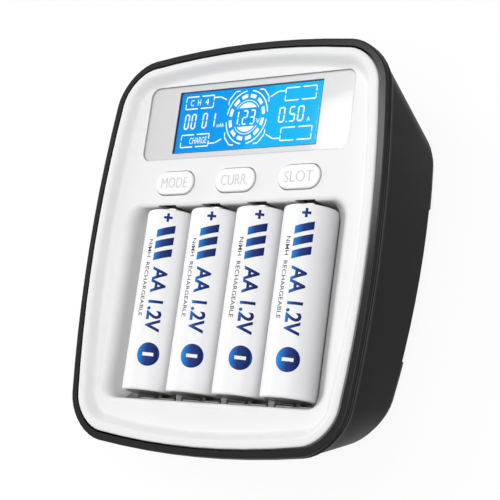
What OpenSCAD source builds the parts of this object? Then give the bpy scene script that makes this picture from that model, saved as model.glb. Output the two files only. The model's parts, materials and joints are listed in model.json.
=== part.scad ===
// Four-bay AA battery charger with a display, three buttons and a wedge-shaped case.
// The face frame has x across the face, y towards the display end and n (z) out of the white field.
// The finished part is tilted so that the rubber feet of the wedge stand level on z = 0.

/* [Cells] */
// Diameter of one cell
cell_d = 14.5; // [13.5:0.1:15.5]
// Length of a cell's sleeve without its nub
cell_l = 49; // [46:0.5:51]
// Diameter of the positive nub
nub_d = 5.4; // [4.6:0.1:5.8]
// Height of the positive nub
nub_h = 1.5; // [1.2:0.1:2]
// Chamfer of the nub's edge
nub_chamfer = 0.3; // [0.1:0.05:0.5]
// Width of the sleeve's collar round the nub
collar_w = 1.6; // [1:0.1:1.8]
// Depth of the hollow inside that collar
collar_drop = 0.3; // [0.2:0.05:0.6]
// Rounding of the sleeve's two ends
cell_edge_r = 0.6; // [0.4:0.1:1.4]
// Free space between two neighbouring cells
cell_gap = 0.7; // [0.5:0.1:2]
// Height of the cells above the white field
cell_proud = 2.86; // [1.5:0.02:4]

/* [Bay] */
// Clearance between a cell and its trough
trough_clearance = 0.25; // [0.15:0.05:0.4]
// Drop from the cells' axes to the ridges between the troughs
ridge_drop = 3.6; // [2.5:0.1:4.5]
// Run of the sloped wall on each side of the bay
dish_run = 7.5; // [5:0.1:9]
// How far the sloped wall ends inside the outer trough
dish_bite = 0.4; // [0.2:0.1:0.8]
// Corner radius of the bay in plan
dish_r = 4.6; // [3:0.1:5.5]
// Rounding of the bay's upper edge
dish_lip = 1.2; // [0.5:0.1:1.5]
// Room between the cells' shoulders and the display-end wall
shoulder_room = 1.4; // [0.6:0.1:1.6]
// Room between the cells' bases and the battery-end wall
base_room = 2.05; // [1.3:0.05:2.5]
// Wall thickness under and around the bay
tub_wall = 1.7; // [1.3:0.1:2.5]
// Width of the window for each positive nub
nub_slot_w = 6.2; // [5.9:0.1:8]
// Thickness of the field left above those windows
nub_slot_top = 0.7; // [0.5:0.1:1.1]
// How far each window cuts into the bay's upper edge
nub_notch = 0.4; // [0.1:0.1:1]
// Thickness of the bay's display-end wall
end_wall = 1.2; // [1:0.1:2]
// Gap on each side of a negative leaf in its slot
leaf_side_gap = 0.6; // [0.3:0.1:0.9]
// Distance from the leaf slots to the cells' bases
leaf_slot_gap = 0.1; // [0.05:0.05:0.3]

/* [Front cover] */
// Thickness of the white field
skin = 2.2; // [1.8:0.1:3]
// Height of the raised lip over the field
lip_h = 2.4; // [1.5:0.1:3.5]
// Width of the lip's flat top
lip_w = 1.5; // [1:0.1:3]
// Run of the slope from the lip down to the field
lip_run = 3.2; // [2:0.1:4]
// Chamfer of the plate's lower edge
plate_chamfer = 0.4; // [0.2:0.1:0.8]
// Rounding of the lip's outer edge
lip_edge_r = 0.6; // [0.3:0.1:1]
// Plate margin beside the bay
side_margin = 8.3; // [7:0.1:10]
// Plate margin below the bay
foot_margin = 11.8; // [10:0.05:18]
// Plate margin above the lens
head_margin = 7.3; // [6.5:0.1:12]
// Corner radius of the plate in plan
plate_r = 8.5; // [7:0.5:14]
// Outward bow of each long side
side_bow = 3.8; // [2:0.1:6]
// Outward bow of each short end
end_bow = 3.6; // [1.5:0.1:5]

/* [Display] */
// Width of the display lens
lens_w = 67.7; // [64:0.1:70]
// Height of the display lens
lens_h = 21; // [19:0.1:24]
// Thickness of the clear lens
lens_t = 0.5; // [0.3:0.1:0.8]
// Corner radius of the lens
lens_r = 2.6; // [1.5:0.1:4]
// Thickness of the white mask behind the lens
mask_t = 0.7; // [0.4:0.1:0.9]
// Width of the mask's window
window_w = 47.3; // [40:0.1:48]
// Height of the mask's window
window_h = 17.3; // [12:0.1:18]
// Corner radius of the mask's window
window_r = 0.5; // [0.2:0.1:2]
// Gap round the lens and other seated trim
trim_gap = 0.15; // [0.1:0.05:0.3]
// Width of the display glass
glass_w = 49.6; // [44:0.1:54]
// Height of the display glass
glass_h = 18.6; // [15:0.1:18.8]
// Thickness of the display glass
glass_t = 2; // [1.5:0.1:3]
// Air between the mask and the glass
glass_air = 0.5; // [0.1:0.05:0.8]
// Border of the backlight round the glass
backlight_border = 1.4; // [0.8:0.1:1.8]
// Thickness of the backlight
backlight_t = 4.1; // [3:0.1:6]

/* [Buttons] */
// Distance between neighbouring buttons
button_pitch = 20.5; // [18:0.1:22]
// Width of a button's face
button_w = 13; // [11:0.1:14]
// Height of a button's face
button_h = 6.5; // [5.5:0.1:7.5]
// Height of a button above the field
button_proud = 0.6; // [0.3:0.1:1.2]
// Rounding of a button's face edge
button_edge_r = 0.45; // [0.2:0.05:0.5]
// Gap between a button and its hole
button_gap = 0.25; // [0.2:0.05:0.4]
// Width of the flange that keeps a button in
flange_w = 0.8; // [0.6:0.1:1]
// Thickness of that flange
flange_t = 1; // [0.7:0.1:1.2]
// Play between the flange and the field's underside
flange_play = 0.2; // [0.15:0.05:0.3]
// Height of the post under a button's flange
post_h = 0.5; // [0.3:0.1:1]
// Travel of a button
button_travel = 0.5; // [0.3:0.05:0.7]
// Distance from the bay's wall to the buttons' centre line
button_offset = 6.4; // [6.2:0.1:9]
// Distance from the buttons' centre line to the lens's middle
lens_offset = 17.45; // [16:0.05:20]

/* [Switches] */
// Side of a switch body
switch_w = 6; // [5:0.1:6.4]
// Diameter of a switch plunger
plunger_d = 3.5; // [2.5:0.1:4]
// Height of the plunger's free part
plunger_free_h = 0.9; // [0.85:0.05:1.2]
// Depth of the plunger inside the switch
plunger_seat = 1.1; // [0.8:0.1:1.4]
// Gap round and under the plunger
plunger_gap = 0.2; // [0.15:0.05:0.3]

/* [Case] */
// Gap between the white plate and the black rim
rim_gap = 0.45; // [0.3:0.05:0.6]
// Width of the black rim's front face
rim_w = 1.8; // [1.6:0.1:2.6]
// Distance of the rim's front face behind the lip's top
rim_set_back = 0.35; // [0.2:0.05:0.8]
// Height of the rim over its groove
rim_h = 1; // [0.7:0.1:1.4]
// Rounding of the rim's front edge
rim_edge_r = 0.45; // [0.2:0.05:0.6]
// Width and depth of the groove round the rim
rim_groove = 0.75; // [0.4:0.05:0.9]
// Slope of the groove's flanks
groove_flank = 0.15; // [0.05:0.05:0.2]
// Width of the bead behind the groove
rim_bead = 1.2; // [0.8:0.1:1.6]
// Step from the bead down to the wall
bead_step = 0.4; // [0.2:0.05:0.6]
// Width of the ledge that carries the plate
ledge_w = 1.6; // [1.2:0.1:2.2]
// Extra wall thickness under that ledge
ledge_root = 0.2; // [0.1:0.1:0.5]
// Wall thickness of the case
case_wall = 2; // [1.6:0.1:2.6]
// Thickness of the case's back
floor_t = 4.4; // [2.8:0.1:5]
// Tilt of the back against the face
back_tilt = 6; // [3:0.5:8]
// Inset of the sides for each unit of depth
side_draft = 0.1; // [0.05:0.01:0.15]
// Inset of the display-end wall for each unit of depth
head_draft = 0.388; // [0.3:0.001:0.6]
// Inset of the battery-end wall for each unit of depth
foot_draft = 0.26; // [0.15:0.01:0.45]
// Depth over which the back edges are rounded
back_round_h = 4.5; // [3:0.1:6]
// Width of the rounding along the sides
side_round = 7.5; // [3:0.1:8.5]
// Width of the rounding along the two ends
end_round = 9; // [5:0.1:11]
// Depth of the recess across the back
recess_depth = 1.7; // [0.8:0.1:2]
// Length of the ramps at both ends of that recess
recess_ramp = 2.2; // [1:0.1:4]
// Distance from the middle of the back to the finger grip on each side
grip_x = 31; // [27:0.5:35]
// Depth of the finger grips at the case's widest outline
grip_depth = 5; // [2.5:0.1:5.5]
// Distance from the plate's display end to the recess
recess_head = 38; // [36:0.5:42]
// Distance from the plate's battery end to the recess
recess_foot = 28.5; // [27:0.5:34]

/* [Vents and feet] */
// Number of vent slots in each of the two rows
vent_count = 7; // [3:1:9]
// Width of a vent slot
vent_w = 1.8; // [1.2:0.1:2.2]
// Length of a vent slot
vent_l = 9; // [6:0.5:11]
// Distance between neighbouring vent slots
vent_pitch = 5; // [4:0.1:6]
// Distance between the two rows of vent slots
vent_row_gap = 15; // [13:0.5:18]
// Diameter of a rubber foot
foot_d = 8; // [6:0.1:10]
// Height of a foot under the back
foot_proud = 0.7; // [0.5:0.1:1.5]
// Depth of a foot's seat in the back
foot_seat = 1; // [0.6:0.1:1.4]
// Distance from the recess's ramps to the feet
foot_gap = 2; // [1:0.5:4]
// Half the distance between the feet of a pair
foot_x = 22; // [16:0.5:25]

/* [Boards and contacts] */
// Thickness of both circuit boards
board_t = 1.6; // [1:0.1:2]
// Width of the main board
main_board_w = 57; // [56:0.5:59]
// Height of the pillars that carry the main board
pillar_h = 1.6; // [1.2:0.1:3]
// Diameter of the pillars that carry the boards
pillar_d = 3.8; // [3.4:0.1:4.2]
// Free height under the main board
part_room = 8.5; // [6:0.1:11]
// Width of the display board
display_board_w = 61.6; // [61:0.1:62.4]
// Distance from the positive contacts to the display board
board_gap = 0.6; // [0.4:0.1:1]
// Width of the pin header between the boards
header_w = 14; // [10:0.5:14]
// Thickness of that header
header_t = 2.5; // [2:0.1:3]
// Thickness of the contact metal
contact_t = 0.4; // [0.3:0.05:0.6]
// Width of a positive contact
positive_w = 5.2; // [4.6:0.1:5.6]
// Gap between the bay's wall and the positive contacts
strip_gap = 0.2; // [0.1:0.05:0.4]
// Gap between the positive contacts and the field's underside
strip_drop = 0.3; // [0.2:0.1:1]
// Diameter of a positive contact's nose at the strip
nose_d = 4.3; // [3.5:0.1:4.6]
// Diameter of that nose at the nub
nose_tip_d = 1.8; // [1.2:0.1:3]
// Length of a contact's foot on the board
contact_foot = 2; // [1.5:0.1:2.4]
// Width of a negative leaf
leaf_w = 12.2; // [8:0.1:12.6]
// Distance from a negative leaf to the cell's base
leaf_set_back = 0.75; // [0.4:0.05:0.85]
// Diameter of a leaf's dimple at the leaf
dimple_d = 4; // [3:0.1:4.6]
// Diameter of that dimple at the cell
dimple_tip_d = 2.2; // [1.5:0.1:2.8]
// Drop from the leaf's top to the middle of its dimple
dimple_drop = 1.6; // [1.4:0.1:2]

/* [Board parts] */
// Side of the control chip
chip_w = 12; // [8:0.5:14]
// Height of the control chip
chip_h = 1.6; // [1:0.1:2.5]
// Distance from the cells' bases to the control chip
chip_offset = 31; // [28:0.5:34]
// Width of a charge transistor
transistor_w = 6.5; // [5:0.1:8]
// Length of a charge transistor
transistor_l = 6.1; // [5:0.1:8]
// Height of a charge transistor
transistor_h = 2.3; // [1.5:0.1:3]
// Distance from the cells' bases to the charge transistors
transistor_offset = 7; // [5:0.5:9]
// Distance from the main board's display end to the power parts
power_offset = 8.5; // [7:0.5:9]
// Side of the power inductor
inductor_w = 10; // [8:0.5:11]
// Height of the power inductor
inductor_h = 4.5; // [3:0.1:6]
// Distance from the middle of the case to the inductor
inductor_x = 16; // [14:0.5:20]
// Diameter of the hollow over the inductor's coil
coil_d = 6; // [4:0.1:7]
// Depth of that hollow
coil_drop = 0.6; // [0.3:0.1:1]
// Diameter of a filter capacitor
can_d = 8; // [6:0.1:8.5]
// Height of a filter capacitor
can_h = 5.8; // [4:0.1:6.5]
// Distance from the middle of the case to the first capacitor
can_x = 11; // [9:0.5:12]
// Distance between the two capacitors
can_pitch = 9.5; // [9:0.1:12]

/* [DC inlet] */
// Width of the inlet's body
jack_w = 9; // [8:0.1:10]
// Height of the inlet's body
jack_h = 11; // [10:0.1:12]
// Length of the inlet's body
jack_l = 14; // [12:0.5:15]
// Distance from the board to the inlet's axis
jack_axis = 6.5; // [6.2:0.1:6.8]
// Bore of the inlet
jack_bore_d = 6.4; // [5.5:0.1:6.8]
// Depth of that bore
jack_bore_l = 9.5; // [8:0.5:10]
// Length of the inlet's centre pin
jack_pin_l = 9.5; // [8:0.5:10]
// Length of the pin that sits in the inlet's body
jack_pin_root = 2; // [1:0.5:3]
// Diameter of the inlet's centre pin
jack_pin_d = 2; // [1.3:0.1:2.5]
// Diameter of the pocket round the inlet
jack_pocket_d = 10.4; // [9:0.1:10.6]
// Wall beside that pocket
jack_cheek = 1.8; // [1.2:0.1:2.5]
// Wall above and below that pocket
jack_lid = 1; // [0.8:0.1:2]
// Gap round the inlet's bore in the case
jack_mouth_gap = 0.3; // [0.1:0.05:0.5]
// Distance from the inside of the display-end wall to the inlet's face
jack_set_in = 1; // [0.5:0.1:2]
// Wall between the pocket and the inlet
jack_wall = 1.5; // [1.2:0.1:2]

/* [Screws] */
// Diameter of the case screws' shanks
case_screw_d = 2.6; // [2.2:0.1:3]
// Diameter of the case screws' heads
case_screw_head_d = 5; // [4.4:0.1:5.4]
// Height of the case screws' heads
case_screw_head_h = 1.8; // [1.4:0.1:2.2]
// Depth of the screw heads under the back
case_screw_sink = 3; // [2:0.1:4]
// Thread length in the front cover
case_screw_grip = 7; // [5:0.5:8]
// Diameter of the screw pillars
boss_d = 5.6; // [5.2:0.1:5.8]
// Half the distance between the screws of a pair
boss_x = 34.5; // [34:0.1:35]
// How much nearer the middle the screws lie than the feet
boss_shift = 1; // [0:0.5:3]
// Drop from the main board to the joint of the screw pillars
joint_drop = 1.2; // [0.5:0.1:2]
// Diameter of the board screws' shanks
board_screw_d = 1.8; // [1.4:0.1:2]
// Diameter of the board screws' heads
board_screw_head_d = 3.4; // [2.8:0.1:3.8]
// Height of the board screws' heads
board_screw_head_h = 1.2; // [0.8:0.1:1.5]
// Thread length of the board screws
board_screw_grip = 3.6; // [2.5:0.1:4]
// Distance from the bay's battery end to the main board's lower screws
board_screw_low = 10.3; // [8:0.1:14]
// Distance from the bay's display end to the main board's upper screws
board_screw_high = 7.7; // [6.5:0.1:12]
// Distance from the display board's edge to its side screws
display_screw_inset = 1.6; // [1.4:0.1:1.8]
// Clearance round a screw
screw_gap = 0.1; // [0.05:0.05:0.2]

/* [Hidden] */
$fn = 48;
eps = 0.01;
slack = 1;
ring_arc_steps = 9;
ring_side_steps = 10;
ring_end_steps = 8;
lip_steps = 6;
round_steps = 5;
bead_steps = 4;
rim_steps = 2;
edge_step = 15;
cross_l_share = 0.6;
cross_w_share = 0.16;

BUTTONS = ["mode", "current", "slot"];
BAYS = [1, 2, 3, 4];
FEET = [1, 2, 3, 4];

// Cells and bay
cell_count = len(BAYS);
cell_pitch = cell_d + cell_gap;
cell_n = cell_proud - cell_d / 2;
trough_r = cell_d / 2 + trough_clearance;
ridge_n = cell_n - ridge_drop;
trough_half_w = sqrt(pow(trough_r, 2) - pow(ridge_drop, 2));
bay_floor_half_w = (cell_count - 1) / 2 * cell_pitch + trough_half_w - dish_bite;
bay_half_w = bay_floor_half_w + dish_run;
bay_l = base_room + cell_l + shoulder_room;
tub_n = cell_n - trough_r - tub_wall;

// Plate, along y from the battery end to the display end
plate_half_w = bay_half_w + side_margin;
plate_half_l = (foot_margin + bay_l + button_offset + lens_offset + lens_h / 2 + head_margin) / 2;
bay_low = foot_margin - plate_half_l;
bay_high = bay_low + bay_l;
base_y = bay_low + base_room;
shoulder_y = base_y + cell_l;
nub_y = shoulder_y + nub_h;
button_y = bay_high + button_offset;
lens_y = button_y + lens_offset;

// Heights of the display stack and the buttons
seat_n = -lens_t - mask_t;
glass_n = seat_n - glass_air;
backlight_n = glass_n - glass_t;
display_board_n = backlight_n - backlight_t;
flange_n = -skin - flange_play;
plunger_n = flange_n - flange_t - post_h;
switch_n = plunger_n - plunger_free_h;
glass_window_w = glass_w + 2 * trim_gap;
glass_window_h = glass_h + 2 * trim_gap;
switch_bore_n = plunger_n - plunger_free_h - plunger_seat - button_travel - plunger_gap;

// Boards
main_board_n = tub_n - pillar_h;
wall_back_y = bay_high + end_wall;
leaf_slot_w = leaf_w + 2 * leaf_side_gap;
strip_y = wall_back_y + strip_gap;
main_board_low = base_y - leaf_set_back - contact_t - contact_foot - slack;
header_y = button_y - header_t / 2;
main_board_high = header_y + header_t + slack;
power_y = main_board_high - power_offset;
display_board_low = strip_y + contact_t + board_gap;
display_board_high = lens_y + glass_window_h / 2 + backlight_border;

// Wedge of the case
tilt_tan = tan(back_tilt);
rim_n = lip_h - rim_set_back;
groove_n = rim_n - rim_h;
bead_n = groove_n - rim_groove;
wall_n = bead_n - rim_bead;
rim_out = rim_gap + rim_w;
case_half_w = plate_half_w + rim_out;
case_half_l = plate_half_l + rim_out;
case_r = plate_r + rim_out;
mid_depth = -(main_board_n - board_t - part_room - floor_t);
head_edge = case_half_l - head_draft * mid_depth;
foot_edge = case_half_l - foot_draft * mid_depth;
boss_joint_n = main_board_n - board_t - joint_drop;
recess_high = plate_half_l - recess_head;
recess_low = recess_foot - plate_half_l;
foot_out = recess_ramp + foot_gap + foot_d / 2;
foot_ys = [recess_high + foot_out, recess_low - foot_out];
boss_ys = [foot_ys[0] - boss_shift, foot_ys[1] + boss_shift];
jack_n = display_board_n - board_t - jack_axis;
jack_block_half_w = jack_pocket_d / 2 + jack_cheek;
jack_block_top = jack_n + jack_pocket_d / 2 + jack_lid;
jack_block_bottom = jack_n - jack_pocket_d / 2 - jack_lid;
jack_face_y = head_wall_y(jack_block_bottom) - case_wall - jack_set_in;
jack_pocket_y = jack_face_y + jack_wall;
jack_pin_y = jack_face_y - jack_bore_l - jack_pin_root;
rest_z = (mid_depth * cos(back_tilt)) + foot_proud;
rest_y = (rim_n - rim_edge_r + (wall_n + bead_n) / 2) / 2 * sin(back_tilt);

// Places that repeat
function bay_x(i) = (i - (cell_count + 1) / 2) * cell_pitch;
function button_x(i) = (i - (len(BUTTONS) - 1) / 2) * button_pitch;
function depth_at(y) = mid_depth + tilt_tan * y;
function head_wall_y(n) = case_half_l - bead_step - head_draft * (wall_n - n);

// Closed outlines in plan, with points along the straights so that they can bow
function lerp(a, b, t) = a + (b - a) * t;
function between(a, b, steps) = [for (i = [1 : steps - 1]) lerp(a, b, i / steps)];
function arc(centre, r, start) = [
    for (i = [0 : ring_arc_steps])
        let (a = start + 90 * i / ring_arc_steps)
        centre + r * [cos(a), sin(a)]
];
function rounded(half_w, low, high, r) = concat(
    arc([half_w - r, high - r], r, 0),
    arc([r - half_w, high - r], r, 90),
    arc([r - half_w, low + r], r, 180),
    arc([half_w - r, low + r], r, 270)
);
function outline(half_w, low, high, r) = concat(
    between([half_w, low + r], [half_w, high - r], ring_side_steps),
    arc([half_w - r, high - r], r, 0),
    between([half_w - r, high], [r - half_w, high], ring_end_steps),
    arc([r - half_w, high - r], r, 90),
    between([-half_w, high - r], [-half_w, low + r], ring_side_steps),
    arc([r - half_w, low + r], r, 180),
    between([r - half_w, low], [half_w - r, low], ring_end_steps),
    arc([half_w - r, low + r], r, 270)
);
function bowed(half_w, low, high, r) =
    let (
        w = half_w - side_bow,
        l = (high - low) / 2 - end_bow,
        mid = (high + low) / 2
    ) [
        for (p = outline(w, -l, l, r)) [
            p.x * (1 + side_bow / w * (1 - pow(p.y / l, 2))),
            mid + p.y * (1 + end_bow / l * (1 - pow(p.x / w, 2)))
        ]
    ];
function stadium(w, h) =
    let (r = h / 2, x = w / 2 - r)
    concat(
        arc([x, 0], r, -90),
        arc_after([x, 0], r, 0),
        arc([-x, 0], r, 90),
        arc_after([-x, 0], r, 180)
    );
function arc_after(centre, r, start) = [for (i = [1 : ring_arc_steps]) arc(centre, r, start)[i]];
function lifted(ring, n) = [for (p = ring) [p.x, p.y, n]];
function plate_ring(inset, n) =
    lifted(bowed(plate_half_w - inset, inset - plate_half_l, plate_half_l - inset, plate_r - inset), n);
function case_ring(inset, n) =
    lifted(bowed(case_half_w - inset, inset - case_half_l, case_half_l - inset, case_r - inset), n);

// Inset of a drafted wall, rounded into the back as t goes from 0 to 1
function rounded_inset(draft, depth, run, t) =
    draft * (depth - back_round_h * pow(1 - t, 2)) + run * t * t;
function wedge_ring(t, wall, floor) =
    let (
        side = wall + rounded_inset(side_draft, mid_depth, side_round, t),
        head = wall + rounded_inset(head_draft, depth_at(head_edge), end_round, t),
        foot = wall + rounded_inset(foot_draft, depth_at(-foot_edge), end_round, t),
        ring = bowed(case_half_w - side, foot - case_half_l, case_half_l - head, case_r - wall)
    ) [for (p = ring) [p.x, p.y, floor - depth_at(p.y) + back_round_h * pow(1 - t, 2)]];

// A closed skin over a stack of rings that all have the same number of points
module loft(rings) {
    k = len(rings[0]);
    last = len(rings) - 1;
    polyhedron(
        points = [for (r = rings, p = r) p],
        faces = concat(
            [[for (i = [0 : k - 1]) i]],
            [
                for (r = [0 : last - 1], i = [0 : k - 1])
                    let (a = r * k + i, b = r * k + (i + 1) % k)
                    each [[a, a + k, b], [b, a + k, b + k]]
            ],
            [[for (i = [k - 1 : -1 : 0]) last * k + i]]
        )
    );
}

module face_frame() {
    translate([0, rest_y, rest_z])
        rotate([back_tilt, 0, 0])
            children();
}

// A place on the back, with z pointing into the case
module on_back(x, y) {
    translate([x, y, -depth_at(y)])
        rotate([-back_tilt, 0, 0])
            children();
}

// A block between two heights, centred across x
module slab(w, low, high, bottom, top) {
    translate([-w / 2, low, bottom])
        cube([w, high - low, top - bottom]);
}

// A profile drawn in y and n, extruded across x
module across(w) {
    rotate([90, 0, 90])
        translate([0, 0, -w / 2])
            linear_extrude(w)
                children();
}

// A profile drawn in x and n, extruded along y
module along(low, high) {
    translate([0, high, 0])
        rotate([90, 0, 0])
            linear_extrude(high - low)
                children();
}

module at_buttons() {
    for (i = [0 : len(BUTTONS) - 1])
        translate([button_x(i), button_y, 0])
            children();
}

module at_case_screws() {
    for (x = [-boss_x, boss_x], y = boss_ys)
        translate([x, y, 0])
            children();
}

module at_main_board_screws() {
    for (x = [bay_x(1.5), bay_x(3.5)], y = [bay_low + board_screw_low, bay_high - board_screw_high])
        translate([x, y, 0])
            children();
}

module at_display_board_screws() {
    for (x = [-1, 1]) {
        translate([x * button_pitch / 2, button_y, 0])
            children();
        translate([x * (display_board_w / 2 - display_screw_inset), lens_y, 0])
            children();
    }
}

// The plate's raised lip, its slope and the flat field, from the underside up
module plate() {
    top = lip_h;
    loft(concat(
        [plate_ring(plate_chamfer, -skin), plate_ring(0, plate_chamfer - skin)],
        [
            for (i = [0 : 3])
                let (a = 30 * i)
                plate_ring(lip_edge_r * (1 - cos(a)), top - lip_edge_r * (1 - sin(a)))
        ],
        [
            for (i = [0 : lip_steps])
                let (t = i / lip_steps)
                plate_ring(lip_w + lip_run * t, top * (1 + cos(180 * t)) / 2)
        ]
    ));
}

// Walls of the bay as they hang under the plate
module tub() {
    top_n = -skin / 2;
    bottom = bay_floor_half_w + tub_wall * sqrt(2);
    top = bottom + dish_run * (1 - top_n / ridge_n);
    along(bay_low - tub_wall, wall_back_y)
        polygon([
            [-top, top_n], [-bottom, ridge_n], [-bottom, tub_n],
            [bottom, tub_n], [bottom, ridge_n], [top, top_n]
        ]);
}

function bay_ring(out, narrow, n) =
    lifted(rounded(bay_half_w + out - narrow, bay_low - out, bay_high + out, dish_r + out), n);

// The hollow that takes the cells, with its rounded edge, sloped sides and four troughs
module bay_hollow() {
    loft(concat(
        [bay_ring(0, dish_run, ridge_n), bay_ring(0, dish_lip, -dish_lip)],
        [
            for (i = [1 : 4])
                let (a = 22.5 * i)
                bay_ring(dish_lip * (1 - cos(a)), dish_lip * cos(a) / 2, dish_lip * (sin(a) - 1))
        ],
        [bay_ring(dish_lip, 0, lip_h + slack)]
    ));
    for (i = BAYS)
        translate([bay_x(i), bay_high, cell_n])
            rotate([90, 0, 0])
                cylinder(r = trough_r, h = bay_l);
}

// Windows for the nubs and slots for the leaves
module contact_slots() {
    for (i = BAYS)
        translate([bay_x(i), 0, 0]) {
            slab(nub_slot_w, bay_high - slack, wall_back_y + slack, ridge_n, -nub_slot_top);
            slab(nub_slot_w, bay_high - slack, bay_high + nub_notch, ridge_n, slack);
            slab(leaf_slot_w, bay_low, base_y - leaf_slot_gap, tub_n - slack, ridge_n + eps);
        }
}

module front_cover() {
    color("white")
        difference() {
            union() {
                plate();
                tub();
                at_case_screws()
                    translate([0, 0, boss_joint_n])
                        cylinder(d = boss_d, h = -skin / 2 - boss_joint_n);
                at_main_board_screws()
                    translate([0, 0, main_board_n])
                        cylinder(d = pillar_d, h = pillar_h + tub_wall / 2);
                at_display_board_screws()
                    translate([0, 0, display_board_n])
                        cylinder(d = pillar_d, h = -skin / 2 - display_board_n);
            }
            bay_hollow();
            contact_slots();
            lens_seat();
            at_buttons()
                translate([0, 0, -skin - slack])
                    linear_extrude(skin + 2 * slack)
                        polygon(stadium(button_w + 2 * button_gap, button_h + 2 * button_gap));
            at_case_screws()
                translate([0, 0, boss_joint_n - slack])
                    cylinder(d = case_screw_d + 2 * screw_gap, h = case_screw_grip + 2 * slack);
            at_main_board_screws()
                translate([0, 0, main_board_n - slack])
                    cylinder(d = board_screw_d + 2 * screw_gap, h = board_screw_grip + 1.5 * slack);
            at_display_board_screws()
                translate([0, 0, display_board_n - slack])
                    cylinder(d = board_screw_d + 2 * screw_gap, h = board_screw_grip + 1.5 * slack);
        }
}

// Outline of the lens, grown by a gap
module lens_outline(gap) {
    polygon(rounded(lens_w / 2 + gap, -lens_h / 2 - gap, lens_h / 2 + gap, lens_r + gap));
}

// Recess for the lens and its mask, and the window for the glass behind them
module lens_seat() {
    translate([0, lens_y, seat_n])
        linear_extrude(slack - seat_n)
            lens_outline(trim_gap);
    translate([0, lens_y, 0])
        slab(glass_window_w, -glass_window_h / 2, glass_window_h / 2, -skin - slack, seat_n / 2);
}

// Rim, groove, bead, drafted walls and rounded back, then the inside from the rim down to the floor
module case_shell() {
    loft(concat(
        [for (i = [round_steps : -1 : 0]) wedge_ring(i / round_steps, bead_step, 0)],
        [
            for (i = [0 : bead_steps])
                let (a = 180 * i / bead_steps)
                case_ring(bead_step * (1 - sin(a)), lerp(wall_n, bead_n, (1 - cos(a)) / 2))
        ],
        [
            case_ring(rim_groove, bead_n + groove_flank),
            case_ring(rim_groove, groove_n - groove_flank),
            case_ring(0, groove_n)
        ],
        [
            for (i = [0 : rim_steps])
                let (a = 90 * i / rim_steps)
                case_ring(rim_edge_r * (1 - cos(a)), rim_n - rim_edge_r * (1 - sin(a)))
        ],
        [
            case_ring(rim_w, rim_n),
            case_ring(rim_w, -skin),
            case_ring(rim_out + ledge_w, -skin),
            case_ring(rim_out + ledge_w, -skin - ledge_w),
            case_ring(case_wall + bead_step + ledge_root, -skin - 2 * ledge_w)
        ],
        [for (i = [0 : round_steps - 1]) wedge_ring(i / (round_steps - 1), bead_step + case_wall, floor_t)]
    ));
}

// Thickening of the display-end wall behind the inlet's pocket
module jack_block() {
    across(2 * jack_block_half_w)
        polygon([
            [jack_face_y, jack_block_bottom],
            [head_wall_y(jack_block_bottom) - case_wall / 2, jack_block_bottom],
            [head_wall_y(jack_block_top) - case_wall / 2, jack_block_top],
            [jack_face_y, jack_block_top]
        ]);
}

// Shallow hollow across the back, with a ramp at each end
module back_recess() {
    on_back(0, 0)
        across(3 * case_half_w)
            polygon([
                [recess_low - recess_ramp * (1 + slack / recess_depth), -slack],
                [recess_low, recess_depth],
                [recess_high, recess_depth],
                [recess_high + recess_ramp * (1 + slack / recess_depth), -slack]
            ]);
}

// Slope on each side of that hollow, where fingers lift the case
module side_grips() {
    on_back(0, 0)
        for (side = [-1, 1])
            along(recess_low - recess_ramp / 2, recess_high + recess_ramp / 2)
                polygon([
                    [side * grip_x, -slack], [side * grip_x, recess_depth],
                    [side * case_half_w, grip_depth], [side * case_half_w, -slack]
                ]);
}

module rear_housing() {
    color("#303030")
        difference() {
            union() {
                case_shell();
                jack_block();
                for (x = [-boss_x, boss_x], y = boss_ys)
                    translate([x, y, floor_t / 2 - depth_at(y)])
                        cylinder(d = boss_d, h = boss_joint_n + depth_at(y) - floor_t / 2);
            }
            back_recess();
            side_grips();
            for (i = FEET)
                foot_place(i)
                    translate([0, 0, -slack])
                        cylinder(d = foot_d + 2 * trim_gap, h = foot_seat + slack);
            for (row = [-1, 1], i = [0 : vent_count - 1])
                on_back((i - (vent_count - 1) / 2) * vent_pitch, (recess_low + recess_high) / 2)
                    translate([-vent_w / 2, (row * vent_row_gap - vent_l) / 2, -slack])
                        cube([vent_w, vent_l, floor_t + 2 * slack]);
            for (x = [-boss_x, boss_x], y = boss_ys)
                translate([x, y, -depth_at(y)]) {
                    translate([0, 0, -2 * slack])
                        cylinder(d = case_screw_head_d + 4 * screw_gap, h = case_screw_sink + 2 * slack);
                    cylinder(d = case_screw_d + 2 * screw_gap, h = depth_at(y));
                }
            translate([0, jack_pocket_y, jack_n])
                rotate([-90, 0, 0])
                    cylinder(d = jack_pocket_d, h = case_half_l);
            translate([0, jack_face_y - slack, jack_n])
                rotate([-90, 0, 0])
                    cylinder(d = jack_bore_d + 2 * jack_mouth_gap, h = jack_wall + 2 * slack);
        }
}

// Clear plate that lies flush with the field
module display_lens() {
    color("azure", 0.3)
        translate([0, lens_y, -lens_t])
            linear_extrude(lens_t)
                lens_outline(0);
}

// White frame behind the lens, open in front of the glass
module display_mask() {
    color("white")
        translate([0, lens_y, seat_n])
            linear_extrude(mask_t)
                difference() {
                    lens_outline(0);
                    polygon(rounded(window_w / 2, -window_h / 2, window_h / 2, window_r));
                }
}

module lcd_panel() {
    color("deepskyblue")
        translate([0, lens_y, 0])
            slab(glass_w, -glass_h / 2, glass_h / 2, backlight_n, glass_n);
}

module backlight() {
    half_h = glass_h / 2 + backlight_border;
    color("aliceblue")
        translate([0, lens_y, 0])
            slab(glass_w + 2 * backlight_border, -half_h, half_h, display_board_n, backlight_n);
}

module display_board() {
    color("darkgreen")
        difference() {
            slab(display_board_w, display_board_low, display_board_high,
                display_board_n - board_t, display_board_n);
            at_display_board_screws()
                translate([0, 0, display_board_n - board_t - slack])
                    cylinder(d = board_screw_d + 2 * screw_gap, h = board_t + 2 * slack);
        }
}

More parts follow.
